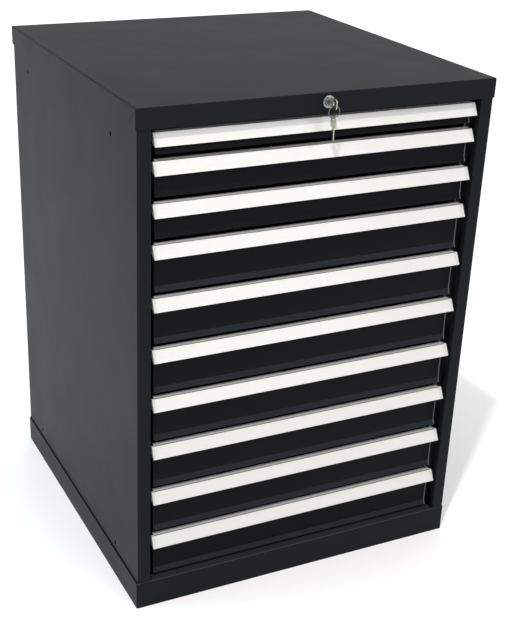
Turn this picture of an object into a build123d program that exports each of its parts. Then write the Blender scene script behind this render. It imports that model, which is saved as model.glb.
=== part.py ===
"""Drawer tool cabinet: a folded steel cabinet with ten drawers on telescopic
runners, full-width aluminium handles and one lock that holds every drawer.

The frame stands on the floor: origin at the middle of the footprint, +Z up,
+X to the right seen from the front, and the drawers open towards -Y.
All sizes are in millimetres.
"""

from build123d import *
import math
import os

# Sheet thicknesses and bends
body_sheet = 1.5
drawer_sheet = 1.2
bend_radius = 2.0
edge_radius = 2.5

# Footprint of the cabinet, over the cover and the plinth
width = 717.0
depth = 725.0

# Front of the cabinet from the floor up
plinth_height = 58.0
floor_gap = 4.5
low_front = 50.0
middle_front = 75.0
tall_front = 100.0
middle_front_count = 2
tall_front_count = 7
cover_gap = 0.5
cover_skirt = 37.0

# Cover and plinth walls stand out past the side panels and the back panel
wall_gap = 1.0

# Front posts, folded from the side panels
post_width = 26.0
post_return = 12.0
rear_flange = 22.0
top_flange = 15.0

# Holes through which neighbouring cabinets are bolted together
joining_hole_radius = 4.25
joining_hole_front = 126.0
joining_hole_rear = 100.0
joining_hole_low = 75.0
joining_hole_top = 75.0

# Plinth: floor flange, sill behind the front wall, holes for floor anchors
floor_flange = 55.0
sill_depth = 20.0
anchor_hole_radius = 6.0
anchor_inset = 32.0
access_hole_radius = 15.0
pan_drop = 1.0
pan_flange = 20.0

# Slotted uprights that carry the runners
upright_depth = 27.0
upright_width = 30.0
upright_front_inset = 42.0
upright_rear_inset = 60.0
upright_head_gap = 3.0
slot_pitch = 25.0
slot_width = 2.5
hook_sheet = 1.5
hook_half_height = 4.0
hook_drop = 5.0
hook_reach = 2.5
hook_clearance = 0.2
slot_rise = 6.0

# Telescopic runners
runner_thickness = 19.0
rail_sheet = 1.5
rail_height = 30.0
rail_flange = 7.5
rail_offset = 25.0
mid_sheet = 2.0
mid_height = 25.0
roller_width = 6.0
roller_gap = 0.2
pin_radius = 3.0
pin_clearance = 0.05
roller_end_inset = 20.0
roller_margin = 10.0
runner_front_inset = 40.0
mid_front_gap = 3.0
drawer_travel = 600.0
buffer_gap = 0.3
buffer_length = 12.0

# Drawers
panel_setback = 17.5
panel_side_gap = 12.0
panel_return = 4.0
panel_side_return = 20.0
front_bend = 1.5
lip_rise = 1.5
lip_slope_height = 11.5
lip_slope_depth = 4.5
lip_return = 10.0
box_floor_rise = 7.2
box_top_gap = 12.0
rear_space = 95.8

# Catch on the back of each drawer, and the tongues that drop in front of it
catch_half_width = 10.0
catch_sheet = 1.5
catch_rise = 22.0
catch_reach = 18.8
catch_height = 9.0

# Handle extrusion
handle_top_gap = 6.7
handle_wall = 2.2
handle_cap_length = 5.5
ledge_drop = 2.1
groove_setback = 0.6
groove_width = 1.2
groove_depth = 1.0
face_top_front = 6.5
face_bottom_front = 18.0
face_drop = 23.8
face_thickness = 2.2
label_recess = 0.7
label_border = 1.0
leg_thickness = 1.6
leg_drop = 18.0

# Central lock
lock_inset = 16.0
rose_radius = 11.5
rose_thickness = 3.0
barrel_radius = 9.5
barrel_length = 19.0
barrel_hole_gap = 0.2
nut_flats = 22.0
nut_thickness = 4.0
core_radius = 6.3
core_proud = 0.7
running_clearance = 0.05
keyway_clearance = 0.2
tail_side = 6.0
tail_length = 8.0
shaft_radius = 5.0
socket_radius = 7.0
socket_length = 10.0
shaft_gap = 0.5

# Key, ring and spare key
key_sheet = 2.0
blade_half_height = 3.5
blade_length = 22.0
key_shoulder_gap = 4.5
bow_length = 21.0
bow_half_height = 9.0
bow_hole_radius = 3.8
bow_hole_inset = 7.5
bow_corner = 5.0
ring_wire = 1.6
ring_radius = 10.9
ring_play = 0.3
spare_hole_radius = 3.0
spare_rim = 3.5

# Locking bar and crank
bar_half_width = 12.0
bar_sheet = 2.0
bar_setback = 27.0
bar_head_margin = 3.6
lock_drop = 9.0
tongue_setback = 2.5
tongue_gap = 3.0
tongue_height = 10.0
crank_pin_radius = 2.0
crank_rim = 2.0
crank_thickness = 3.0
crank_gap = 2.0
crank_slot_play = 0.45
guide_side = 1.5
guide_play = 0.4
guide_height = 20.0
guide_rise = 60.0
guide_count = 3

# Rails across the top of the body
top_rail_drop = 32.0
front_rail_gap = 1.0
front_rail_flange = 24.0
rear_rail_flange = 18.0
rear_rail_lead = 3.5

# Rivets that hold the back panel
rivet_radius = 2.0
rivet_head_radius = 4.0
rivet_head = 0.8
rivet_count = 6
rivet_end_inset = 90.0

# Levels and planes worked out from the sizes above
front_heights = (
    [low_front] + [middle_front] * middle_front_count + [tall_front] * tall_front_count)
height = plinth_height + floor_gap + sum(front_heights) + cover_gap + cover_skirt
half_width = width / 2
front = -depth / 2
back = depth / 2
body_half = half_width - body_sheet - wall_gap
body_front = front + body_sheet
body_back = back - body_sheet - wall_gap
side_inner = body_half - body_sheet
body_top = height - body_sheet
opening_half = body_half - post_width
opening_top = height - cover_skirt
fronts_top = opening_top - cover_gap
lock_height = height - lock_inset
pan_top = plinth_height - body_sheet - pan_drop
back_plane = body_back - body_sheet
back_inner = back_plane - body_sheet
upright_face = side_inner - upright_depth
drawer_half = upright_face - runner_thickness
panel_front = body_front + panel_setback
panel_inner = panel_front + drawer_sheet
panel_half = opening_half - panel_side_gap
drawer_back = body_back - rear_space
runner_front = body_front + runner_front_inset
roller_radius = rail_height / 2 - rail_sheet - roller_gap
upright_front = body_front + upright_front_inset
upright_rear = body_back - upright_rear_inset
top_rail_top = body_top - body_sheet
crank_radius = lock_drop / 2 / math.sin(math.radians(45))
bar_front = drawer_back + bar_setback


def drawer_bottoms():
    """Lowest level of each drawer's share of the front, from the top one down."""
    levels = []
    level = fronts_top
    for front_height in front_heights:
        level -= front_height
        levels.append(level)
    return levels


def block(x0, x1, y0, y1, z0, z1):
    """A block between two corners."""
    middle = Pos((x0 + x1) / 2, (y0 + y1) / 2, (z0 + z1) / 2)
    return middle * Box(abs(x1 - x0), abs(y1 - y0), abs(z1 - z0))


def rod(radius, start, length, axis):
    """A round bar from a start point along X, Y or Z."""
    plane = Plane(origin=start, z_dir=axis)
    return extrude(plane * Circle(radius), amount=length)


def folded(points, sheet, bend, side):
    """Section of a folded sheet: its face on the points, its metal to one side."""
    path = FilletPolyline(*points, radius=bend)
    return make_face(offset(path, amount=sheet, side=side).edges())


def along_x(section, x0, x1):
    """Sweep a Y-Z section straight along X."""
    return extrude(Plane.YZ.offset(x0) * section, amount=x1 - x0)


def both_sides(piece):
    """A piece on the right and its mirror image on the left."""
    return [piece, mirror(piece, about=Plane.YZ)]


def side_panel():
    """Right side panel: post, return and rear flange folded from one sheet."""
    outline = [
        (opening_half, body_front + post_return),
        (opening_half, body_front),
        (body_half, body_front),
        (body_half, body_back),
        (body_half - rear_flange, body_back),
    ]
    section = folded(outline, body_sheet, bend_radius, Side.LEFT)
    panel = extrude(Pos(0, 0, body_sheet) * section, amount=body_top - body_sheet)
    foot = block(0, body_half, body_front, body_front + post_return, 0, plinth_height)
    panel -= foot
    panel -= block(
        0, body_half, body_front, body_front + post_return, top_rail_top, body_top)
    panel += block(
        side_inner - top_flange, side_inner, body_front + post_return,
        back_plane, body_top - body_sheet, body_top,
    )
    for y in (body_front + joining_hole_front, body_back - joining_hole_rear):
        for z in (joining_hole_low, height - joining_hole_top):
            panel -= rod(joining_hole_radius, (side_inner - 1, y, z), body_sheet + 2, (1, 0, 0))
    for x, z in rivet_points():
        panel -= rod(rivet_radius, (x, back_plane - 1, z), body_sheet + 2, (0, 1, 0))
    return panel


def back_panel():
    """Back sheet between the rear flanges, with a folded foot and head."""
    half = side_inner - wall_gap
    outline = [
        (back_inner - top_flange, body_top - body_sheet),
        (back_plane, body_top - body_sheet),
        (back_plane, body_sheet),
        (back_inner - top_flange, body_sheet),
    ]
    section = folded(outline, body_sheet, bend_radius, Side.RIGHT)
    sheet = along_x(section, -half, half)
    for x, z in rivet_points():
        for side in (-1, 1):
            sheet -= rod(rivet_radius, (side * x, back_inner - 1, z), body_sheet + 2, (0, 1, 0))
    return sheet


def rounded_block(x0, x1, y0, y1, z0, z1, radius, round_top):
    """A block with rounded corners, and a rounded top if it has one."""
    body = block(x0, x1, y0, y1, z0, z1)
    edges = body.edges().filter_by(Axis.Z)
    if round_top:
        edges += body.faces().sort_by(Axis.Z)[-1].edges()
    return fillet(edges, radius)


def mitre(x, y, level, drop, inwards):
    """Groove of the 45 degree corner seam on the side of a folded tray."""
    groove_width = 0.6
    groove_depth = 0.6
    length = abs(drop) * math.sqrt(2)
    tilt = 45 if drop * inwards < 0 else -45
    centre = Pos(x, y + inwards * abs(drop) / 2, level + drop / 2)
    return centre * Rot(tilt, 0, 0) * Box(2 * groove_depth, groove_width, length)


def top_cover():
    """Cover: an inverted tray with the corner seams on its sides."""
    inner_radius = edge_radius - body_sheet
    cover = rounded_block(
        -half_width, half_width, front, back, opening_top, height, edge_radius, True)
    cover -= rounded_block(
        -half_width + body_sheet, half_width - body_sheet, front + body_sheet,
        back - body_sheet, opening_top - 1, body_top, inner_radius, True)
    seam_drop = edge_radius - cover_skirt
    for x in (-half_width, half_width):
        cover -= mitre(x, front + edge_radius, height - edge_radius, seam_drop, 1)
        cover -= mitre(x, back - edge_radius, height - edge_radius, seam_drop, -1)
    hole_radius = barrel_radius + barrel_hole_gap
    cover -= rod(hole_radius, (0, front - 1, lock_height), body_sheet + 2, (0, 1, 0))
    return cover


def plinth():
    """Plinth: four walls, a floor flange and the sill under the lowest drawer."""
    inner_radius = edge_radius - body_sheet
    inner_half = half_width - body_sheet
    base = rounded_block(
        -half_width, half_width, body_front, back, 0, plinth_height, edge_radius, False)
    base -= rounded_block(
        -inner_half, inner_half, body_front + body_sheet, back - body_sheet,
        body_sheet, plinth_height + 1, inner_radius, False)
    base -= block(
        -inner_half + floor_flange, inner_half - floor_flange,
        body_front + floor_flange, back - floor_flange, -1, body_sheet + 1)
    base += block(
        -opening_half + wall_gap, opening_half - wall_gap, body_front + body_sheet,
        body_front + sill_depth, plinth_height - body_sheet, plinth_height)
    sill_edge = [
        edge for edge in base.edges().filter_by(Axis.X)
        if abs(edge.center().Y - body_front) < 0.01
        and abs(edge.center().Z - plinth_height) < 0.01
    ]
    base = fillet(sill_edge, body_sheet * 0.6)
    for x in (-half_width, half_width):
        base -= mitre(x, back - edge_radius, body_sheet, plinth_height - body_sheet, -1)
    for x, y in anchor_points():
        base -= rod(anchor_hole_radius, (x, y, -1), body_sheet + 2, (0, 0, 1))
    return base


def anchor_points():
    """Centres of the four floor anchor holes."""
    x = side_inner - anchor_inset
    return [
        (side * x, y) for side in (-1, 1)
        for y in (body_front + anchor_inset, body_back - anchor_inset)
    ]


def floor_pan():
    """Sheet that closes the body below the lowest drawer."""
    pan_front = body_front + body_sheet
    under = pan_top - body_sheet
    pan = block(-side_inner, side_inner, pan_front, back_inner, pan_top - pan_flange, pan_top)
    pan -= block(
        -side_inner + body_sheet, side_inner - body_sheet, pan_front + body_sheet,
        back_inner - body_sheet, pan_top - pan_flange - 1, under)
    for x, y in anchor_points():
        pan -= rod(access_hole_radius, (x, y, under - 1), body_sheet + 2, (0, 0, 1))
    return pan


def top_rails():
    """Front rail that backs the cover at the lock, and rear rail for the shaft."""
    front_foot = opening_top + front_rail_gap
    front_section = folded(
        [
            (body_front + front_rail_flange, front_foot),
            (body_front, front_foot),
            (body_front, top_rail_top),
            (body_front + post_return, top_rail_top),
        ],
        body_sheet, bend_radius, Side.RIGHT)
    front_rail = along_x(front_section, -opening_half, opening_half)
    hole_radius = barrel_radius + barrel_hole_gap
    front_rail -= rod(hole_radius, (0, body_front - 1, lock_height), body_sheet + 2, (0, 1, 0))
    rear_web = bar_front - crank_gap - crank_thickness - rear_rail_lead
    rear_section = folded(
        [
            (rear_web - rear_rail_flange, top_rail_top - top_rail_drop),
            (rear_web, top_rail_top - top_rail_drop),
            (rear_web, top_rail_top),
            (rear_web - rear_rail_flange, top_rail_top),
        ],
        body_sheet, bend_radius, Side.LEFT)
    rear_rail = along_x(rear_section, -side_inner, side_inner)
    bore = shaft_radius + running_clearance
    rear_rail -= rod(bore, (0, rear_web - body_sheet - 1, lock_height), body_sheet + 2, (0, 1, 0))
    return [front_rail, rear_rail]


def slot_levels():
    """Levels of the slots in the uprights, one for each step of the drawer grid."""
    bottom = fronts_top - sum(front_heights)
    count = round(sum(front_heights) / slot_pitch)
    return [bottom + rail_offset + slot_pitch * step for step in range(count - 1)]


def uprights():
    """Four slotted channels on the side panels, front and rear."""
    pieces = []
    for start in (upright_front, upright_rear):
        section = folded(
            [
                (side_inner, start),
                (upright_face, start),
                (upright_face, start + upright_width),
                (side_inner, start + upright_width),
            ],
            body_sheet, bend_radius, Side.RIGHT)
        channel = extrude(
            Pos(0, 0, pan_top) * section, amount=opening_top - upright_head_gap - pan_top)
        slots = [
            block(
                upright_face - 1, upright_face + body_sheet + 1,
                start + upright_width / 2 - slot_width / 2,
                start + upright_width / 2 + slot_width / 2,
                level - hook_half_height, level + hook_half_height + slot_rise)
            for level in slot_levels()
        ]
        channel -= slots
        pieces += both_sides(channel)
    return pieces


def cabinet_rails():
    """Fixed channel of each runner, hooked into the uprights."""
    pieces = []
    inner = upright_face - rail_sheet
    half = rail_height / 2
    end = upright_rear + upright_width
    for bottom in drawer_bottoms():
        level = bottom + rail_offset
        rail = block(inner, upright_face, runner_front, end, level - half, level + half)
        for sign in (-1, 1):
            outer_edge = level + sign * half
            rail += block(
                upright_face - rail_flange, upright_face, runner_front, end,
                outer_edge, outer_edge - sign * rail_sheet)
        for start in (upright_front, upright_rear):
            y = start + upright_width / 2
            behind = upright_face + body_sheet + hook_clearance
            reach = behind + hook_reach
            tab = (y - hook_sheet / 2, y + hook_sheet / 2)
            rail += block(
                inner, reach, *tab, level - hook_half_height, level + hook_half_height)
            rail += block(
                behind, reach, *tab, level - hook_half_height - hook_drop,
                level - hook_half_height)
        pieces += both_sides(rail)
    return pieces


def runner_buffers():
    """Rubber stops behind the intermediate members."""
    pieces = []
    for bottom in drawer_bottoms():
        level = bottom + rail_offset
        x1 = upright_face - rail_sheet
        y0 = drawer_back + buffer_gap
        reach = x1 - (runner_thickness - 2 * rail_sheet) / 2
        pieces += both_sides(block(
            reach, x1, y0, y0 + buffer_length,
            level - rail_height / 4, level + rail_height / 4))
    return pieces


def mid_members(level):
    """Intermediate member of each side: a plate with its pins, and four rollers."""
    plate_x0 = drawer_half + runner_thickness / 2 - mid_sheet / 2
    plate_x1 = plate_x0 + mid_sheet
    plate = block(
        plate_x0, plate_x1, runner_front + mid_front_gap, drawer_back,
        level - mid_height / 2, level + mid_height / 2)
    side_gap = (runner_thickness / 2 - mid_sheet / 2 - rail_sheet - roller_width) / 2
    stroke = drawer_travel / 2
    clear = roller_radius + roller_margin
    inner_places = (
        runner_front + mid_front_gap + roller_end_inset,
        drawer_back - stroke - clear,
    )
    outer_places = (
        runner_front + stroke + clear,
        drawer_back - roller_end_inset,
    )
    rollers = []
    for places, x0 in ((inner_places, plate_x0 - side_gap - roller_width),
                       (outer_places, plate_x1 + side_gap)):
        for y in places:
            wheel = rod(roller_radius, (x0, y, level), roller_width, (1, 0, 0))
            wheel -= rod(pin_radius + pin_clearance, (x0 - 1, y, level), roller_width + 2, (1, 0, 0))
            rollers.append(wheel)
            pin_end = x0 if x0 < plate_x0 else x0 + roller_width
            start = min(pin_end, plate_x0)
            plate += rod(pin_radius, (start, y, level), max(pin_end, plate_x1) - start, (1, 0, 0))
    pieces = []
    for piece in [plate] + rollers:
        pieces += both_sides(piece)
    return pieces


def drawer_rails(level):
    """Channel riveted to each side of a drawer."""
    half = rail_height / 2
    rail = block(
        drawer_half, drawer_half + rail_sheet, runner_front, drawer_back,
        level - half, level + half)
    for sign in (-1, 1):
        outer_edge = level + sign * half
        rail += block(
            drawer_half, drawer_half + rail_flange, runner_front, drawer_back,
            outer_edge, outer_edge - sign * rail_sheet)
    return both_sides(rail)


def drawer_tray(bottom, front_height):
    """Folded box and front of one drawer."""
    top = bottom + front_height - handle_top_gap - handle_wall
    lip_level = bottom + lip_rise
    lip_front = panel_front - lip_slope_depth
    outline = [
        (panel_front + panel_return, top),
        (panel_front, top),
        (panel_front, lip_level + lip_slope_height),
        (lip_front, lip_level),
        (lip_front + lip_return, lip_level),
    ]
    section = folded(outline, drawer_sheet, front_bend, Side.LEFT)
    tray = along_x(section, -panel_half, panel_half)
    for piece in both_sides(block(
            panel_half - drawer_sheet, panel_half, panel_front + drawer_sheet / 2,
            panel_front + panel_side_return, lip_level + lip_slope_height,
            top - drawer_sheet / 2)):
        tray += piece
    floor = bottom + box_floor_rise
    rim = bottom + front_height - box_top_gap
    box = block(-drawer_half, drawer_half, panel_front, drawer_back, floor, rim)
    box -= block(
        -drawer_half + drawer_sheet, drawer_half - drawer_sheet, panel_front - 1,
        drawer_back - drawer_sheet, floor + drawer_sheet, rim + 1)
    box -= block(-drawer_half - 1, drawer_half + 1, panel_front - 1, panel_inner, floor - 1, rim + 1)
    slope_left = max(0, lip_level + lip_slope_height - floor - drawer_sheet / 2)
    floor_front = panel_front - lip_slope_depth * slope_left / lip_slope_height + drawer_sheet / 2
    box += block(-drawer_half, drawer_half, floor_front, panel_inner, floor, floor + drawer_sheet)
    return tray + box


def drawer_catch(bottom):
    """Catch on the back of one drawer: a plate, and the lip that the bar holds."""
    level = bottom + catch_rise
    end = drawer_back + catch_reach
    plate = block(
        -catch_half_width, catch_half_width, drawer_back, end, level, level + catch_sheet)
    lip = block(
        -catch_half_width, catch_half_width, end - catch_sheet, end,
        level + catch_sheet, level + catch_height)
    return [plate, lip]


def handle(bottom, front_height):
    """Handle extrusion that caps the drawer front, with a plug in each end."""
    top = bottom + front_height - handle_top_gap
    face_top = (panel_front - face_top_front, top - ledge_drop)
    face_bottom = (panel_front - face_bottom_front, top - face_drop)
    run = math.dist(face_top, face_bottom)
    down = ((face_bottom[0] - face_top[0]) / run, (face_bottom[1] - face_top[1]) / run)
    inwards = (-down[1], down[0])

    def on_face(distance, inset):
        y = face_top[0] + down[0] * distance + inwards[0] * inset
        z = face_top[1] + down[1] * distance + inwards[1] * inset
        return (y, z)

    def on_ledge(distance, inset):
        return (face_top[0] + distance, face_top[1] + ledge_drop * distance / face_top_front - inset)

    groove_end = groove_setback + groove_width
    underside = top - ledge_drop - handle_wall
    corner = (handle_wall + inwards[1] * face_thickness) / -down[1]
    outline = [
        (panel_front + panel_return, top),
        (panel_front, top),
        on_ledge(groove_end, 0),
        on_ledge(groove_end, groove_depth),
        on_ledge(groove_setback, groove_depth),
        on_ledge(groove_setback, 0),
        face_top,
        on_face(label_border, 0),
        on_face(label_border, label_recess),
        on_face(run - label_border, label_recess),
        on_face(run - label_border, 0),
        face_bottom,
        on_face(run, face_thickness),
        on_face(corner, face_thickness),
        (panel_front - leg_thickness, underside),
        (panel_front - leg_thickness, top - leg_drop),
        (panel_front, top - leg_drop),
        (panel_front, top - handle_wall),
        (panel_front + panel_return, top - handle_wall),
    ]
    bar = along_x(make_face(Polyline(*outline, close=True)), -panel_half, panel_half)
    cap_outline = [
        face_top,
        face_bottom,
        on_face(run, face_thickness),
        (panel_front - leg_thickness, top - leg_drop),
        (panel_front - leg_thickness, top - handle_wall),
    ]
    cap = along_x(
        make_face(Polyline(*cap_outline, close=True)),
        panel_half, panel_half + handle_cap_length)
    return [bar] + both_sides(cap)


def lock_housing():
    """Barrel of the lock with its rose."""
    rose = rod(rose_radius, (0, front, lock_height), rose_thickness, (0, -1, 0))
    rim = rose.faces().sort_by(Axis.Y)[0].edges()
    rose = fillet(rim, rose_thickness * 0.45)
    barrel = rod(barrel_radius, (0, front, lock_height), barrel_length, (0, 1, 0))
    housing = rose + barrel
    bore = core_radius + running_clearance
    housing -= rod(
        bore, (0, front - rose_thickness - 1, lock_height),
        rose_thickness + barrel_length + 2, (0, 1, 0))
    return housing


def lock_nut():
    """Hexagon nut behind the front rail."""
    start = body_front + body_sheet
    plane = Plane(origin=(0, start, lock_height), x_dir=(1, 0, 0), z_dir=(0, 1, 0))
    hexagon = RegularPolygon(nut_flats / 2, 6, major_radius=False)
    nut = extrude(plane * hexagon, amount=nut_thickness)
    bore = barrel_radius + running_clearance
    nut -= rod(bore, (0, start - 1, lock_height), nut_thickness + 2, (0, 1, 0))
    return nut


def lock_core():
    """Plug that the key turns, with the keyway and a square tail."""
    face = front - rose_thickness - core_proud
    end = front + barrel_length
    core = rod(core_radius, (0, face, lock_height), end - face, (0, 1, 0))
    core = chamfer(core.faces().sort_by(Axis.Y)[0].edges(), core_proud * 0.6)
    half_slot = key_sheet / 2 + keyway_clearance
    slot_height = blade_half_height + keyway_clearance
    core -= block(
        -half_slot, half_slot, face - 1, face - key_shoulder_gap + blade_length + 1,
        lock_height - slot_height, lock_height + slot_height)
    half_tail = tail_side / 2
    core += block(
        -half_tail, half_tail, end, end + tail_length,
        lock_height - half_tail, lock_height + half_tail)
    return core


def lock_shaft():
    """Shaft from the lock to the back, with the crank that lifts the bar."""
    start = front + barrel_length + shaft_gap
    crank_back = bar_front - crank_gap
    crank_front = crank_back - crank_thickness
    shaft = rod(shaft_radius, (0, start, lock_height), crank_front - start, (0, 1, 0))
    shaft += rod(socket_radius, (0, start, lock_height), socket_length, (0, 1, 0))
    half_socket = tail_side / 2 + running_clearance
    shaft -= block(
        -half_socket, half_socket, start - 1, start + tail_length,
        lock_height - half_socket, lock_height + half_socket)
    disc_radius = crank_radius + crank_pin_radius + crank_rim
    shaft += rod(disc_radius, (0, crank_front, lock_height), crank_thickness, (0, 1, 0))
    pin_offset = lock_drop / 2
    pin_end = bar_front + bar_sheet + 1
    shaft += rod(
        crank_pin_radius, (pin_offset, crank_back, lock_height + pin_offset),
        pin_end - crank_back, (0, 1, 0))
    return shaft


def locking_bar():
    """Upright bar at the back, with an arm and a tongue for every drawer."""
    foot = fronts_top - sum(front_heights) + catch_rise
    slot_level = lock_height + lock_drop / 2
    slot_half = crank_pin_radius + crank_slot_play
    head = slot_level + slot_half + bar_head_margin
    bar = block(
        -bar_half_width, bar_half_width, bar_front, bar_front + bar_sheet, foot, head)
    bar -= block(
        lock_drop / 2 - slot_half, crank_radius + slot_half, bar_front - 1,
        bar_front + bar_sheet + 1, slot_level - slot_half, slot_level + slot_half)
    catch_back = drawer_back + catch_reach
    tongue_back = catch_back - catch_sheet - tongue_setback
    tongue_front = tongue_back - bar_sheet
    pieces = [bar]
    for bottom in drawer_bottoms():
        foot_level = bottom + catch_rise + catch_height + tongue_gap
        arm_top = foot_level + tongue_height
        pieces.append(block(
            -catch_half_width, catch_half_width, tongue_front, bar_front,
            arm_top - bar_sheet, arm_top))
        pieces.append(block(
            -catch_half_width, catch_half_width, tongue_front, tongue_back,
            foot_level, arm_top - bar_sheet))
    return pieces


def bar_guides():
    """Loops on the back panel in which the locking bar slides."""
    bottoms = drawer_bottoms()
    pieces = []
    outer = bar_half_width + guide_play + guide_side
    slot_front = bar_front - guide_play
    slot_back = bar_front + bar_sheet + guide_play
    step = len(bottoms) // guide_count
    for place in range(guide_count):
        z0 = bottoms[-1 - place * step] + guide_rise
        z1 = z0 + guide_height
        loop = block(-outer, outer, slot_front - guide_side, back_inner, z0, z1)
        loop -= block(
            guide_side - outer, outer - guide_side, slot_front, slot_back, z0 - 1, z1 + 1)
        loop -= block(
            guide_side - outer, outer - guide_side, slot_back + guide_side,
            back_inner + 1, z0 - 1, z1 + 1)
        pieces.append(loop)
    return pieces


def key_plate(hole_shape):
    """Key in the plane of its plate: bow at the left, blade to the right of zero."""
    bow = Pos(-bow_length / 2, 0) * RectangleRounded(bow_length, 2 * bow_half_height, bow_corner)
    blade = Pos(blade_length / 2 - 1, 0) * Rectangle(blade_length + 2, 2 * blade_half_height)
    notches = [
        Pos(blade_length * share, side * blade_half_height) * Circle(blade_half_height * 0.3)
        for share, side in ((0.3, 1), (0.45, -1), (0.6, 1), (0.75, -1), (0.85, 1))
    ]
    outline = bow + blade
    for notch in notches:
        outline -= notch
    return outline - hole_shape


def key_in_lock():
    """Key in the keyway, its plate upright and its bow towards the front."""
    hole = Pos(bow_hole_inset - bow_length, 0) * Circle(bow_hole_radius)
    shoulder = front - rose_thickness - core_proud - key_shoulder_gap
    plane = Plane(origin=(-key_sheet / 2, shoulder, lock_height), x_dir=(0, 1, 0), z_dir=(1, 0, 0))
    return extrude(plane * key_plate(hole), amount=key_sheet)


def ring_pivot():
    """Middle of the rim of the bow that the ring hangs on."""
    shoulder = front - rose_thickness - core_proud - key_shoulder_gap
    y = shoulder - bow_length + bow_hole_inset
    z = lock_height - (bow_half_height + bow_hole_radius) / 2
    return (0, y, z)


def ring_centre():
    """Centre of the ring, which hangs with its wire in the hole of the bow."""
    x, y, z = ring_pivot()
    half_rim = (bow_half_height - bow_hole_radius) / 2
    wire_level = z + half_rim + ring_play + ring_wire / 2
    return (x, y, wire_level - ring_radius)


def key_ring():
    """Ring of the keys."""
    plane = Plane(origin=ring_centre(), z_dir=(0, 1, 0))
    return plane * Torus(ring_radius, ring_wire / 2)


def spare_key():
    """Spare key that hangs on the ring, blade down."""
    x, y, z = ring_centre()
    wire_level = z - ring_radius
    rim_level = wire_level + ring_wire / 2 + ring_play
    hole_centre = rim_level - spare_hole_radius
    shoulder = rim_level + spare_rim - bow_length
    hole = Pos(shoulder - hole_centre, 0) * Circle(spare_hole_radius)
    plane = Plane(origin=(x - key_sheet / 2, y, shoulder), x_dir=(0, 0, -1), z_dir=(1, 0, 0))
    return extrude(plane * key_plate(hole), amount=key_sheet)


def panel_rivets():
    """Rivets that hold the back panel to the rear flanges."""
    pieces = []
    for x, z in rivet_points():
        rivet = rod(rivet_radius, (x, back_inner, z), body_back - back_inner, (0, 1, 0))
        rivet += rod(rivet_head_radius, (x, back_inner, z), rivet_head, (0, -1, 0))
        rivet += rod(rivet_head_radius, (x, body_back, z), rivet_head, (0, 1, 0))
        pieces += both_sides(rivet)
    return pieces


def rivet_points():
    """Places of the rivets on the right rear flange."""
    span = body_top - 2 * rivet_end_inset
    x = body_half - rear_flange / 2
    return [
        (x, rivet_end_inset + span * step / (rivet_count - 1))
        for step in range(rivet_count)
    ]


def build():
    """Every sub-part by its node name."""
    right = side_panel()
    nodes = {
        "right_side_panel": right,
        "left_side_panel": mirror(right, about=Plane.YZ),
        "back_panel": back_panel(),
        "top_cover": top_cover(),
        "plinth": plinth(),
        "floor_pan": floor_pan(),
        "top_rails": top_rails(),
        "uprights": uprights(),
        "cabinet_rails": cabinet_rails(),
        "runner_buffers": runner_buffers(),
        "bar_guides": bar_guides(),
        "panel_rivets": panel_rivets(),
        "lock_housing": lock_housing(),
        "lock_nut": lock_nut(),
        "lock_core": lock_core(),
        "lock_shaft": lock_shaft(),
        "key": key_in_lock(),
        "key_ring": key_ring(),
        "spare_key": spare_key(),
        "locking_bar": locking_bar(),
    }
    for number, bottom in enumerate(drawer_bottoms(), start=1):
        front_height = front_heights[number - 1]
        level = bottom + rail_offset
        nodes[f"drawer_{number:02d}_tray"] = drawer_tray(bottom, front_height)
        nodes[f"drawer_{number:02d}_handle"] = handle(bottom, front_height)
        nodes[f"drawer_{number:02d}_fittings"] = drawer_rails(level) + drawer_catch(bottom)
        nodes[f"runner_{number:02d}_members"] = mid_members(level)
    return nodes


def as_one(shape):
    """One shape of a node: a solid, or separate solids held together."""
    if isinstance(shape, list):
        return Compound(children=[solid for piece in shape for solid in piece.solids()])
    return shape


os.makedirs("parts", exist_ok=True)
for name, shape in build().items():
    export_step(as_one(shape), f"parts/{name}.step")
print("lock axis level", lock_height, "ring pivot", ring_pivot(), "ring centre", ring_centre())
print("height", height, "drawer inside half", drawer_half - drawer_sheet, "bottoms", drawer_bottoms())
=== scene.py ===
"""Looks of the drawer tool cabinet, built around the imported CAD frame.

Every CAD node keeps its shape and gets a procedural finish. The label strips
in the handles are made here and ride on the drawers.
"""

import math

import bmesh
import bpy
from bpy.props import FloatProperty, FloatVectorProperty, PointerProperty, StringProperty
from mathutils import Euler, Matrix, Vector


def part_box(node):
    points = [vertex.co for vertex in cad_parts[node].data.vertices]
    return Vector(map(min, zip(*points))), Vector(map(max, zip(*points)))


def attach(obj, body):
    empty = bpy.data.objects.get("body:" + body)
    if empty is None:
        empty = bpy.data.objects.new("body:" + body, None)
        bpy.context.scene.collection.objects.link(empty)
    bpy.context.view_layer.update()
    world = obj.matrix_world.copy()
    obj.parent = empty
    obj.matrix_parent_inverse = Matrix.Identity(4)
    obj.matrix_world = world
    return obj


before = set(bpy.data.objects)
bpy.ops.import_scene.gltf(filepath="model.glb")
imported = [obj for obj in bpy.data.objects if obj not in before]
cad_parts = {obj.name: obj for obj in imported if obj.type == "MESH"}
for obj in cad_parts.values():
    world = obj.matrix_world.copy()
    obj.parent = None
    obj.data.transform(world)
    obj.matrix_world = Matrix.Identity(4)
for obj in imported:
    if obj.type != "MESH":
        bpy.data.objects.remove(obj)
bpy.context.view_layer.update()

bl_info = {
    "name": "Drawer tool cabinet",
    "version": (1, 0, 0),
    "blender": (4, 5, 0),
    "location": "3D View > Sidebar > Tool cabinet",
    "description": "Finishes a lockable drawer cabinet and sets up its studio",
    "category": "Object",
}

MM = 0.001
DRAWERS = [f"{number:02d}" for number in range(1, 11)]
# The 100 mm drawers, whose folded lips show and get painted light: a lighter tone for the lamp
# light falling on them
TALL_DRAWERS = DRAWERS[3:]

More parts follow.
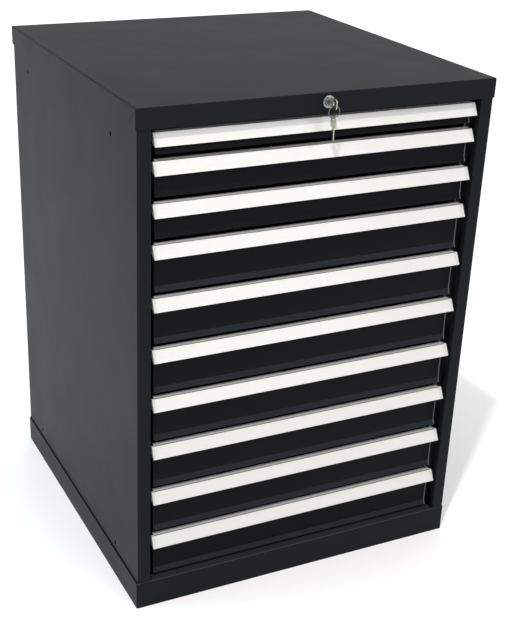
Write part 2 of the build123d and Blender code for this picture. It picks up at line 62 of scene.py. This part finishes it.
BODY_SHEETS = (
    "left_side_panel", "right_side_panel", "back_panel", "top_cover", "plinth",
    "floor_pan", "top_rails",
)
ZINC_PIECES = (
    "uprights", "cabinet_rails", "bar_guides", "panel_rivets", "lock_nut",
    "lock_shaft", "locking_bar",
)

# Section of a handle, as the CAD has it
PLUG_LENGTH = 5.5 * MM
LEDGE_DROP = 2.1 * MM
FACE_DROP = 23.8 * MM
FACE_DEPTH = 11.5 * MM
LABEL_RECESS = 0.7 * MM
# The CAD's border is 1.0 mm, and the strip keeps 0.1 mm clear of it
LABEL_BORDER = 1.1 * MM
# The groove of the ledge, which gets painted shade: how far behind the face's top edge and below
# the handle's top
GROOVE_BEHIND = (0.5 * MM, 1.9 * MM)
GROOVE_BELOW = (1.7 * MM, 2.9 * MM)

# Zones of the folded sheets that get painted light: lighter tones for the light that falls on the
# lips, edges and sill
LIP_HEIGHT = 11.5 * MM
LIP_DEPTH = 5.5 * MM
HIGHLIGHT_WIDTH = 1.1 * MM
BEND_SIZE = 0.8 * MM
SILL_DEPTH = 45.0 * MM
SILL_HEIGHT = 8.0 * MM
FACES_UP = 0.9
ROUNDING = 0.1 * MM

# Studio: name, place, size in metres, watts and tint of each lamp
LAMPS = (
    ("ceiling lamp", (-1.50, -2.03, 4.80), 0.14, 102.0, "#FFF8F2"),
    ("left softbox", (-4.0, 0.9, 2.6), 3.0, 96.0, "#D0EAFF"),
    ("front softbox", (1.2, -3.8, 3.2), 2.4, 55.0, "#FFFFFF"),
    ("background softbox", (3.7, 8.0, 5.0), 6.0, 260.0, "#FFFFFF"),
)
LAMPS_AIM = Vector((0.0, 0.0, 0.5))
SKY_STRENGTH = 0.72
FLOOR_REACH = 20.0


class CabinetPaint(bpy.types.PropertyGroup):
    """Powder coat on the folded sheets."""

    colour: StringProperty(
        name="Paint colour", description="Anthracite of the powder coat, as sRGB hex",
        default="#15191B")
    # The drawers' colour is the body's anthracite darkened as painted shade: the shade under the
    # handles is painted into it
    drawer_shade_colour: StringProperty(
        name="Drawer colour", description="Body anthracite darkened as painted shade on the drawers, as sRGB hex",
        default="#0C0E10")
    # Painted light: the lips of the tall drawers are lighter for the lamp light that falls on
    # them
    lip_light_colour: StringProperty(
        name="Lip colour",
        description="Folded lip under a 100 mm front, painted lighter for the lamp light on it, as sRGB hex",
        default="#202427")
    # Painted highlight: a pale line along the right-hand edge of each front
    edge_highlight_colour: StringProperty(
        name="Edge colour", description="Painted highlight on the right-hand cut edge of the fronts, as sRGB hex",
        default="#7C8286")
    # Painted highlight: a pale line on the plinth's top edge
    bend_highlight_colour: StringProperty(
        name="Bend colour", description="Painted highlight on the top edge of the plinth, as sRGB hex",
        default="#3C4246")
    # Painted light: the sill under the lowest drawer is lighter for the light that falls on it
    sill_light_colour: StringProperty(
        name="Sill colour", description="Top of the plinth under the lowest drawer, as sRGB hex",
        default="#2A2F34")
    roughness: FloatProperty(
        name="Roughness", description="Satin powder coat, 0 mirror to 1 matt",
        default=0.40, min=0.0, max=1.0, subtype="FACTOR")
    gloss: FloatProperty(
        name="Gloss level", description="Specular level of the cured resin",
        default=0.06, min=0.0, max=1.0, subtype="FACTOR")
    peel: FloatProperty(
        name="Orange peel", description="Width of the ripples in the cured powder",
        default=2.2 * MM, unit="LENGTH")


class HandleFinish(bpy.types.PropertyGroup):
    """Extruded handles, their end plugs and label strips."""

    aluminium: StringProperty(
        name="Aluminium colour", description="Silver anodised extrusion, as sRGB hex",
        default="#D2D3D1")
    # Painted shade: a dark coat standing in for the shade in the ledge's groove
    groove: StringProperty(
        name="Groove colour",
        description="Painted shade in the groove of the ledge, as sRGB hex",
        default="#3A3A38")
    plug: StringProperty(
        name="Plug colour", description="Moulded end plugs, as sRGB hex",
        default="#C4C5C3")
    card: StringProperty(
        name="Card colour", description="Label strip, as sRGB hex", default="#D0D0CD")
    brush_line: FloatProperty(
        name="Die line width", description="Width of the die lines along the extrusion",
        default=0.35 * MM, unit="LENGTH")
    card_thickness: FloatProperty(
        name="Card thickness", description="Thickness of the label card",
        default=0.3 * MM, unit="LENGTH")
    end_gap: FloatProperty(
        name="End gap", description="Gap from the label strip to the end plug",
        default=1.0 * MM, unit="LENGTH")


class MetalFinish(bpy.types.PropertyGroup):
    """Plated steel of the runners, lock and keys."""

    zinc: StringProperty(
        name="Zinc colour", description="Bright zinc plating, as sRGB hex", default="#AEB3B6")
    chrome: StringProperty(
        name="Chrome colour", description="Lock rose, as sRGB hex", default="#9C9EA0")
    core: StringProperty(
        name="Core colour", description="Cast core of the lock, as sRGB hex", default="#747678")
    nickel: StringProperty(
        name="Nickel colour", description="Plated keys, as sRGB hex", default="#BDBBAE")
    wire: StringProperty(
        name="Wire colour", description="Wire of the key ring, as sRGB hex", default="#77797C")


class StageSetup(bpy.types.PropertyGroup):
    """Floor, lights and camera."""

    floor_colour: StringProperty(
        name="Floor colour", description="Pale studio floor, as sRGB hex", default="#FFFFFF")
    camera_place: FloatVectorProperty(
        name="Camera place", description="Where the photograph was taken from",
        default=(-1.0369, -2.1229, 1.4876), subtype="XYZ", unit="LENGTH")
    camera_turn: FloatVectorProperty(
        name="Camera turn", description="Rotation of the camera",
        default=tuple(math.radians(a) for a in (65.0298, -1.8402, -25.4463)),
        subtype="EULER", unit="ROTATION")
    lens: FloatProperty(
        name="Lens", description="Focal length in millimetres", default=68.779)
    shift_x: FloatProperty(name="Shift X", description="Sideways lens shift", default=0.0315)
    shift_y: FloatProperty(name="Shift Y", description="Upward lens shift", default=0.0323)


def linear(hex_text):
    """sRGB hex text as a linear RGBA colour."""
    parts = [int(hex_text[i:i + 2], 16) / 255 for i in (1, 3, 5)]
    return tuple(
        c / 12.92 if c <= 0.04045 else ((c + 0.055) / 1.055) ** 2.4 for c in parts
    ) + (1.0,)


def add_node(tree, kind, settings=None, links=None):
    """Add one node to a tree, with its settings and the sockets that feed it."""
    node = tree.nodes.new(kind)
    for name, value in (settings or {}).items():
        if name in node.inputs:
            node.inputs[name].default_value = value
        else:
            setattr(node, name, value)
    for name, source in (links or {}).items():
        tree.links.new(source, node.inputs[name])
    return node


def start_material(name):
    """An empty material with its shader joined to the output."""
    material = bpy.data.materials.new(name)
    material.use_nodes = True
    tree = material.node_tree
    tree.nodes.clear()
    shader = add_node(tree, "ShaderNodeBsdfPrincipled")
    add_node(tree, "ShaderNodeOutputMaterial", links={"Surface": shader.outputs[0]})
    place = add_node(tree, "ShaderNodeTexCoord")
    return material, tree, shader, place.outputs["Object"]


def shade_range(tree, source, colour, low, high):
    """The colour, darkened or lightened between two factors by a pattern."""
    ramp = add_node(tree, "ShaderNodeValToRGB", links={"Fac": source})
    # Most values of a noise lie between 0.3 and 0.7
    for element, factor in zip(ramp.color_ramp.elements, (low, high)):
        element.color = tuple(min(c * factor, 1.0) for c in colour[:3]) + (1.0,)
    ramp.color_ramp.elements[0].position = 0.3
    ramp.color_ramp.elements[1].position = 0.7
    return ramp.outputs["Color"]


def powder_coat(name, hex_text, highlight_x=None):
    """Satin polyester powder coat, sprayed and baked on degreased steel sheet."""
    look = bpy.context.scene.cabinet_paint
    material, tree, shader, place = start_material(name)
    colour = linear(hex_text)
    # Pinpoint differences in the cured powder; real grains are finer than a pixel,
    # so they are drawn 3 mm wide to show.
    grain = add_node(
        tree, "ShaderNodeTexNoise",
        {"Scale": 1 / (3 * MM), "Detail": 2.0, "Roughness": 0.6}, {"Vector": place})
    # Cloudy areas of thicker and thinner coat, about 90 mm across
    cloud = add_node(
        tree, "ShaderNodeTexNoise",
        {"Scale": 1 / (90 * MM), "Detail": 3.0, "Roughness": 0.5}, {"Vector": place})
    mixed = add_node(
        tree, "ShaderNodeMix", {"data_type": "FLOAT", "Factor": 0.45},
        {"A": grain.outputs["Fac"], "B": cloud.outputs["Fac"]})
    tint = shade_range(tree, mixed.outputs["Result"], colour, 0.93, 1.07)
    if highlight_x:
        # Painted highlight: a pale line on the right-hand cut edge of a front, standing in for
        # the light that edge catches
        axes = add_node(tree, "ShaderNodeSeparateXYZ", links={"Vector": place})
        in_edge_highlight = add_node(
            tree, "ShaderNodeMath", {"operation": "GREATER_THAN"}, {0: axes.outputs["X"]})
        in_edge_highlight.inputs[1].default_value = highlight_x
        edge_highlight = add_node(
            tree, "ShaderNodeMix", {"data_type": "RGBA"}, {"Factor": in_edge_highlight.outputs["Value"]})
        tree.links.new(tint, edge_highlight.inputs[6])
        edge_highlight.inputs[7].default_value = linear(look.edge_highlight_colour)
        tint = edge_highlight.outputs[2]
    tree.links.new(tint, shader.inputs["Base Color"])
    rough = add_node(
        tree, "ShaderNodeMapRange",
        {"To Min": look.roughness - 0.04, "To Max": look.roughness + 0.05},
        {"Value": cloud.outputs["Fac"]})
    tree.links.new(rough.outputs["Result"], shader.inputs["Roughness"])
    shader.inputs["Specular IOR Level"].default_value = look.gloss
    # Orange peel: shallow ripples of the melted powder
    peel = add_node(
        tree, "ShaderNodeTexNoise",
        {"Scale": 1 / look.peel, "Detail": 1.5, "Roughness": 0.5}, {"Vector": place})
    ripples = add_node(
        tree, "ShaderNodeBump", {"Strength": 0.35, "Distance": 0.03 * MM},
        {"Height": peel.outputs["Fac"]})
    # Sheet between its bends is never quite flat: waves about 240 mm long
    waves = add_node(
        tree, "ShaderNodeTexNoise",
        {"Scale": 1 / (240 * MM), "Detail": 0.0}, {"Vector": place})
    buckle = add_node(
        tree, "ShaderNodeBump", {"Strength": 0.5, "Distance": 0.9 * MM},
        {"Height": waves.outputs["Fac"], "Normal": ripples.outputs["Normal"]})
    tree.links.new(buckle.outputs["Normal"], shader.inputs["Normal"])
    return material


def anodised_aluminium(name, hex_text):
    """Silver anodised extrusion: fine die lines that run along the handle."""
    look = bpy.context.scene.handle_finish
    material, tree, shader, place = start_material(name)
    along = 1 / (400 * MM)
    across = 1 / look.brush_line
    stretch = add_node(
        tree, "ShaderNodeMapping", {"Scale": (along, across, across)}, {"Vector": place})
    lines = add_node(
        tree, "ShaderNodeTexNoise", {"Scale": 1.0, "Detail": 2.0, "Roughness": 0.7},
        {"Vector": stretch.outputs["Vector"]})
    tint = shade_range(tree, lines.outputs["Fac"], linear(hex_text), 0.94, 1.04)
    tree.links.new(tint, shader.inputs["Base Color"])
    shader.inputs["Metallic"].default_value = 0.45
    rough = add_node(
        tree, "ShaderNodeMapRange", {"To Min": 0.34, "To Max": 0.46},
        {"Value": lines.outputs["Fac"]})
    tree.links.new(rough.outputs["Result"], shader.inputs["Roughness"])
    bump = add_node(
        tree, "ShaderNodeBump", {"Strength": 0.3, "Distance": 0.02 * MM},
        {"Height": lines.outputs["Fac"]})
    tree.links.new(bump.outputs["Normal"], shader.inputs["Normal"])
    return material


def moulded_plug():
    """Moulded ABS plug: smooth, slightly waxy, with a fine spark-eroded grain."""
    look = bpy.context.scene.handle_finish
    material, tree, shader, place = start_material("moulded ABS, light grey")
    grain = add_node(
        tree, "ShaderNodeTexNoise",
        {"Scale": 1 / (0.8 * MM), "Detail": 2.0}, {"Vector": place})
    tint = shade_range(tree, grain.outputs["Fac"], linear(look.plug), 0.97, 1.02)
    tree.links.new(tint, shader.inputs["Base Color"])
    shader.inputs["Roughness"].default_value = 0.42
    bump = add_node(
        tree, "ShaderNodeBump", {"Strength": 0.25, "Distance": 0.03 * MM},
        {"Height": grain.outputs["Fac"]})
    tree.links.new(bump.outputs["Normal"], shader.inputs["Normal"])
    return material


def label_card():
    """Coated white card: faint fibres, nearly matt."""
    look = bpy.context.scene.handle_finish
    material, tree, shader, place = start_material("coated white card")
    fibres = add_node(
        tree, "ShaderNodeTexNoise",
        {"Scale": 1 / (2.5 * MM), "Detail": 4.0, "Roughness": 0.65}, {"Vector": place})
    tint = shade_range(tree, fibres.outputs["Fac"], linear(look.card), 0.97, 1.01)
    tree.links.new(tint, shader.inputs["Base Color"])
    shader.inputs["Roughness"].default_value = 0.55
    # The clear cover lies on the card, so its gloss is the card's coat
    shader.inputs["Coat Weight"].default_value = 0.6
    shader.inputs["Coat Roughness"].default_value = 0.12
    return material


def zinc_plate():
    """Bright zinc on rolled steel: cool grey, with faint rolling lines and clouds."""
    look = bpy.context.scene.metal_finish
    material, tree, shader, place = start_material("zinc plated rolled steel")
    stretch = add_node(
        tree, "ShaderNodeMapping",
        {"Scale": (1 / (0.6 * MM), 1 / (60 * MM), 1 / (0.6 * MM))}, {"Vector": place})
    rolled = add_node(
        tree, "ShaderNodeTexNoise", {"Scale": 1.0, "Detail": 2.0},
        {"Vector": stretch.outputs["Vector"]})
    cloud = add_node(
        tree, "ShaderNodeTexNoise",
        {"Scale": 1 / (18 * MM), "Detail": 4.0, "Roughness": 0.6}, {"Vector": place})
    mixed = add_node(
        tree, "ShaderNodeMix", {"data_type": "FLOAT", "Factor": 0.5},
        {"A": rolled.outputs["Fac"], "B": cloud.outputs["Fac"]})
    tint = shade_range(tree, mixed.outputs["Result"], linear(look.zinc), 0.86, 1.1)
    tree.links.new(tint, shader.inputs["Base Color"])
    shader.inputs["Metallic"].default_value = 1.0
    rough = add_node(
        tree, "ShaderNodeMapRange", {"To Min": 0.28, "To Max": 0.46},
        {"Value": mixed.outputs["Result"]})
    tree.links.new(rough.outputs["Result"], shader.inputs["Roughness"])
    bump = add_node(
        tree, "ShaderNodeBump", {"Strength": 0.2, "Distance": 0.02 * MM},
        {"Height": rolled.outputs["Fac"]})
    tree.links.new(bump.outputs["Normal"], shader.inputs["Normal"])
    return material


def plated(name, colour, roughness, scratch):
    """Polished and plated metal with fine handling scratches."""
    material, tree, shader, place = start_material(name)
    marks = add_node(
        tree, "ShaderNodeTexNoise",
        {"Scale": 1 / scratch, "Detail": 3.0, "Roughness": 0.7, "Distortion": 1.5},
        {"Vector": place})
    tint = shade_range(tree, marks.outputs["Fac"], linear(colour), 0.9, 1.06)
    tree.links.new(tint, shader.inputs["Base Color"])
    shader.inputs["Metallic"].default_value = 1.0
    rough = add_node(
        tree, "ShaderNodeMapRange", {"To Min": roughness, "To Max": roughness + 0.12},
        {"Value": marks.outputs["Fac"]})
    tree.links.new(rough.outputs["Result"], shader.inputs["Roughness"])
    return material


def nitrile_rubber():
    """Moulded nitrile rubber: black, matt and slightly dusty."""
    material, tree, shader, place = start_material("moulded nitrile rubber")
    dust = add_node(
        tree, "ShaderNodeTexNoise",
        {"Scale": 1 / (3 * MM), "Detail": 3.0}, {"Vector": place})
    tint = shade_range(tree, dust.outputs["Fac"], linear("#1C1C1C"), 0.85, 1.25)
    tree.links.new(tint, shader.inputs["Base Color"])
    shader.inputs["Roughness"].default_value = 0.75
    return material


def dress(node, *materials):
    """Give a CAD node its finishes, the first one on all of its faces."""
    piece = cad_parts[node]
    piece.data.materials.clear()
    for material in materials:
        piece.data.materials.append(material)
    return piece


def prism(name, outline, x0, x1, material):
    """A bar with the same Y-Z outline along X."""
    mesh = bpy.data.meshes.new(name)
    form = bmesh.new()
    ends = [[form.verts.new((x, y, z)) for y, z in outline] for x in (x0, x1)]
    form.faces.new(ends[0])
    form.faces.new(reversed(ends[1]))
    count = len(outline)
    for i in range(count):
        j = (i + 1) % count
        form.faces.new((ends[0][j], ends[0][i], ends[1][i], ends[1][j]))
    bmesh.ops.recalc_face_normals(form, faces=form.faces)
    form.to_mesh(mesh)
    form.free()
    mesh.materials.append(material)
    piece = bpy.data.objects.new(name, mesh)
    bpy.context.scene.collection.objects.link(piece)
    return piece


class CABINET_OT_paint_body(bpy.types.Operator):
    """Powder coat on the folded sheets of the body"""

    bl_idname = "cabinet.paint_body"
    bl_label = "Paint body"

    def execute(self, context):
        look = context.scene.cabinet_paint
        body = powder_coat("satin powder coat, anthracite", look.colour)
        for node in BODY_SHEETS:
            dress(node, body)
        # Painted highlight: the plinth's top edge gets a pale line for the light it catches, and
        # the sill behind it is painted lighter as painted light
        highlit = powder_coat("satin powder coat, rubbed bend", look.bend_highlight_colour)
        sill = powder_coat("satin powder coat, sill with painted light", look.sill_light_colour)
        plinth = dress("plinth", body, highlit, sill)
        low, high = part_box("plinth")
        for face in plinth.data.polygons:
            place = face.center
            on_edge = high.z - BEND_SIZE < place.z < high.z and place.y < low.y + BEND_SIZE
            near_front = place.y < low.y + SILL_DEPTH and place.z > high.z - SILL_HEIGHT
            if on_edge:
                face.material_index = 1
            elif near_front and face.normal.z > FACES_UP:
                face.material_index = 2
        return {"FINISHED"}


class CABINET_OT_paint_drawers(bpy.types.Operator):
    """Powder coat on the drawers, darkened as painted shade, with painted light on the lips of
    the tall ones
    """

    bl_idname = "cabinet.paint_drawers"
    bl_label = "Paint drawers"

    def execute(self, context):
        look = context.scene.cabinet_paint
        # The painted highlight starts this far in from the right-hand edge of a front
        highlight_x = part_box("drawer_01_tray")[1].x - HIGHLIGHT_WIDTH
        # Painted shade: the drawers get a darker copy of the body's coat
        drawers = powder_coat("satin powder coat, anthracite with painted shade", look.drawer_shade_colour, highlight_x)
        lips = powder_coat("satin powder coat, lip with painted light", look.lip_light_colour, highlight_x)
        for number in DRAWERS:
            node = f"drawer_{number}_tray"
            piece = dress(node, drawers, lips)
            low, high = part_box(node)
            for face in piece.data.polygons:
                place = face.center
                # Painted light: the lips of the tall drawers get the lighter coat, standing in
                # for the lamp light on them
                on_lip = place.z < low.z + LIP_HEIGHT and place.y < low.y + LIP_DEPTH
                face.material_index = int(on_lip and number in TALL_DRAWERS)
        return {"FINISHED"}


class CABINET_OT_finish_handles(bpy.types.Operator):
    """Anodised handles with moulded plugs and label strips"""

    bl_idname = "cabinet.finish_handles"
    bl_label = "Finish handles"

    def execute(self, context):
        look = context.scene.handle_finish
        metal = anodised_aluminium("silver anodised aluminium, extruded", look.aluminium)
        shaded = anodised_aluminium("anodised aluminium, grimy groove", look.groove)
        plug = moulded_plug()
        card = label_card()
        for number in DRAWERS:
            node = f"drawer_{number}_handle"
            piece = dress(node, metal, plug, shaded)
            low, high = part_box(node)
            bar_end = high.x - PLUG_LENGTH
            for face in piece.data.polygons:
                behind = face.center.y - low.y - FACE_DEPTH
                below = high.z - face.center.z
                if abs(face.center.x) > bar_end + ROUNDING:
                    face.material_index = 1
                # The groove's faces get painted shade: a dark coat where the groove is in shade
                elif within(behind, GROOVE_BEHIND) and within(below, GROOVE_BELOW):
                    face.material_index = 2
            outline = strip_outline(low, high, look.card_thickness)
            strip = prism(
                f"label_strip_{number}", outline,
                look.end_gap - bar_end, bar_end - look.end_gap, card)
            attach(strip, f"drawer_{number}")
        return {"FINISHED"}


def within(value, limits):
    """Whether a value lies between two limits."""
    return limits[0] < value < limits[1]


def strip_outline(low, high, thickness):
    """Y-Z outline of the label strip in the recess of a handle's slanted face."""
    top = Vector((low.y + FACE_DEPTH, high.z - LEDGE_DROP))
    bottom = Vector((low.y, high.z - FACE_DROP))
    down = (bottom - top).normalized()
    inwards = Vector((-down.y, down.x))
    run = (bottom - top).length
    front = LABEL_RECESS - thickness
    corners = (
        (LABEL_BORDER, LABEL_RECESS), (LABEL_BORDER, front),
        (run - LABEL_BORDER, front), (run - LABEL_BORDER, LABEL_RECESS),
    )
    return [tuple(top + down * along + inwards * inset) for along, inset in corners]


class CABINET_OT_finish_runners(bpy.types.Operator):
    """Zinc plate on the runners and the working steel, and rubber on the buffers"""

    bl_idname = "cabinet.finish_runners"
    bl_label = "Finish runners"

    def execute(self, context):
        zinc = zinc_plate()
        for node in ZINC_PIECES:
            dress(node, zinc)
        for number in DRAWERS:
            dress(f"drawer_{number}_fittings", zinc)
            dress(f"runner_{number}_members", zinc)
        dress("runner_buffers", nitrile_rubber())
        return {"FINISHED"}


class CABINET_OT_finish_lock(bpy.types.Operator):
    """Chrome, cast zinc, nickel and wire on the lock and its keys"""

    bl_idname = "cabinet.finish_lock"
    bl_label = "Finish lock and keys"

    def execute(self, context):
        look = context.scene.metal_finish
        dress("lock_housing", plated("polished chrome plate", look.chrome, 0.12, 4 * MM))
        dress("lock_core", plated("nickel plated zinc casting", look.core, 0.24, 2 * MM))
        nickel = plated("nickel plated brass", look.nickel, 0.2, 3 * MM)
        for node in ("key", "spare_key"):
            dress(node, nickel)
        dress("key_ring", plated("drawn spring wire", look.wire, 0.16, 3 * MM))
        return {"FINISHED"}


class CABINET_OT_build_stage(bpy.types.Operator):
    """Pale floor, soft lights and the photograph's camera"""

    bl_idname = "cabinet.build_stage"
    bl_label = "Build stage"

    def execute(self, context):
        scene = context.scene
        setup = scene.stage_setup
        scene.view_settings.view_transform = "Standard"
        make_floor(setup)
        make_sky(scene)
        for name, place, size, power, tint in LAMPS:
            lamp = bpy.data.lights.new(name, "AREA")
            lamp.color = linear(tint)[:3]
            lamp.size = size
            lamp.energy = power
            holder = bpy.data.objects.new(name, lamp)
            holder.location = place
            if name == "background softbox":
                # It shines straight down on the floor behind, and makes no gleam on the cover
                holder.visible_glossy = False
                holder.visible_camera = False
            else:
                aim = LAMPS_AIM - Vector(place)
                holder.rotation_euler = aim.to_track_quat("-Z", "Y").to_euler()
            scene.collection.objects.link(holder)
        camera = bpy.data.cameras.new("photo camera")
        camera.lens = setup.lens
        camera.sensor_width = 36.0
        camera.shift_x = setup.shift_x
        camera.shift_y = setup.shift_y
        camera.clip_start = 0.05
        camera.clip_end = 100.0
        holder = bpy.data.objects.new("photo camera", camera)
        holder.location = setup.camera_place
        holder.rotation_euler = Euler(setup.camera_turn, "XYZ")
        scene.collection.objects.link(holder)
        scene.camera = holder
        return {"FINISHED"}


def make_floor(setup):
    """Pale studio floor."""
    material, tree, shader, place = start_material("pale studio floor")
    mottle = add_node(
        tree, "ShaderNodeTexNoise", {"Scale": 1.2, "Detail": 2.0}, {"Vector": place})
    tint = shade_range(tree, mottle.outputs["Fac"], linear(setup.floor_colour), 0.995, 1.0)
    tree.links.new(tint, shader.inputs["Base Color"])
    shader.inputs["Roughness"].default_value = 0.9
    shader.inputs["Specular IOR Level"].default_value = 0.0
    mesh = bpy.data.meshes.new("studio_floor")
    signs = ((-1, -1), (1, -1), (1, 1), (-1, 1))
    corners = [(x * FLOOR_REACH, y * FLOOR_REACH, 0) for x, y in signs]
    mesh.from_pydata(corners, [], [(0, 1, 2, 3)])
    mesh.materials.append(material)
    floor = bpy.data.objects.new("studio_floor", mesh)
    bpy.context.scene.collection.objects.link(floor)


def make_sky(scene):
    """Even white surroundings of a light tent."""
    world = bpy.data.worlds.new("soft studio")
    world.use_nodes = True
    tree = world.node_tree
    tree.nodes.clear()
    shade = add_node(
        tree, "ShaderNodeBackground",
        {"Color": (1.0, 1.0, 1.0, 1.0), "Strength": SKY_STRENGTH})
    add_node(tree, "ShaderNodeOutputWorld", links={"Surface": shade.outputs[0]})
    scene.world = world


class CABINET_PT_panel(bpy.types.Panel):
    """Sidebar panel that lists the cabinet's operators"""

    bl_label = "Tool cabinet"
    bl_idname = "CABINET_PT_panel"
    bl_space_type = "VIEW_3D"
    bl_region_type = "UI"
    bl_category = "Tool cabinet"

    def draw(self, context):
        for settings in ("cabinet_paint", "handle_finish", "metal_finish", "stage_setup"):
            group = getattr(context.scene, settings)
            for name in group.__annotations__:
                self.layout.prop(group, name)
        for step in STEPS:
            self.layout.operator(step.bl_idname)


STEPS = (
    CABINET_OT_paint_body,
    CABINET_OT_paint_drawers,
    CABINET_OT_finish_handles,
    CABINET_OT_finish_runners,
    CABINET_OT_finish_lock,
    CABINET_OT_build_stage,
)
GROUPS = {
    "cabinet_paint": CabinetPaint,
    "handle_finish": HandleFinish,
    "metal_finish": MetalFinish,
    "stage_setup": StageSetup,
}


def register():
    for group in GROUPS.values():
        bpy.utils.register_class(group)
    for name, group in GROUPS.items():
        setattr(bpy.types.Scene, name, PointerProperty(type=group))
    for step in STEPS + (CABINET_PT_panel,):
        bpy.utils.register_class(step)


def unregister():
    for step in reversed(STEPS + (CABINET_PT_panel,)):
        bpy.utils.unregister_class(step)
    for name, group in GROUPS.items():
        delattr(bpy.types.Scene, name)
        bpy.utils.unregister_class(group)


def main():
    """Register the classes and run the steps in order."""
    register()
    bpy.ops.cabinet.paint_body()
    bpy.ops.cabinet.paint_drawers()
    bpy.ops.cabinet.finish_handles()
    bpy.ops.cabinet.finish_runners()
    bpy.ops.cabinet.finish_lock()
    bpy.ops.cabinet.build_stage()


if __name__ == "__main__":
    main()
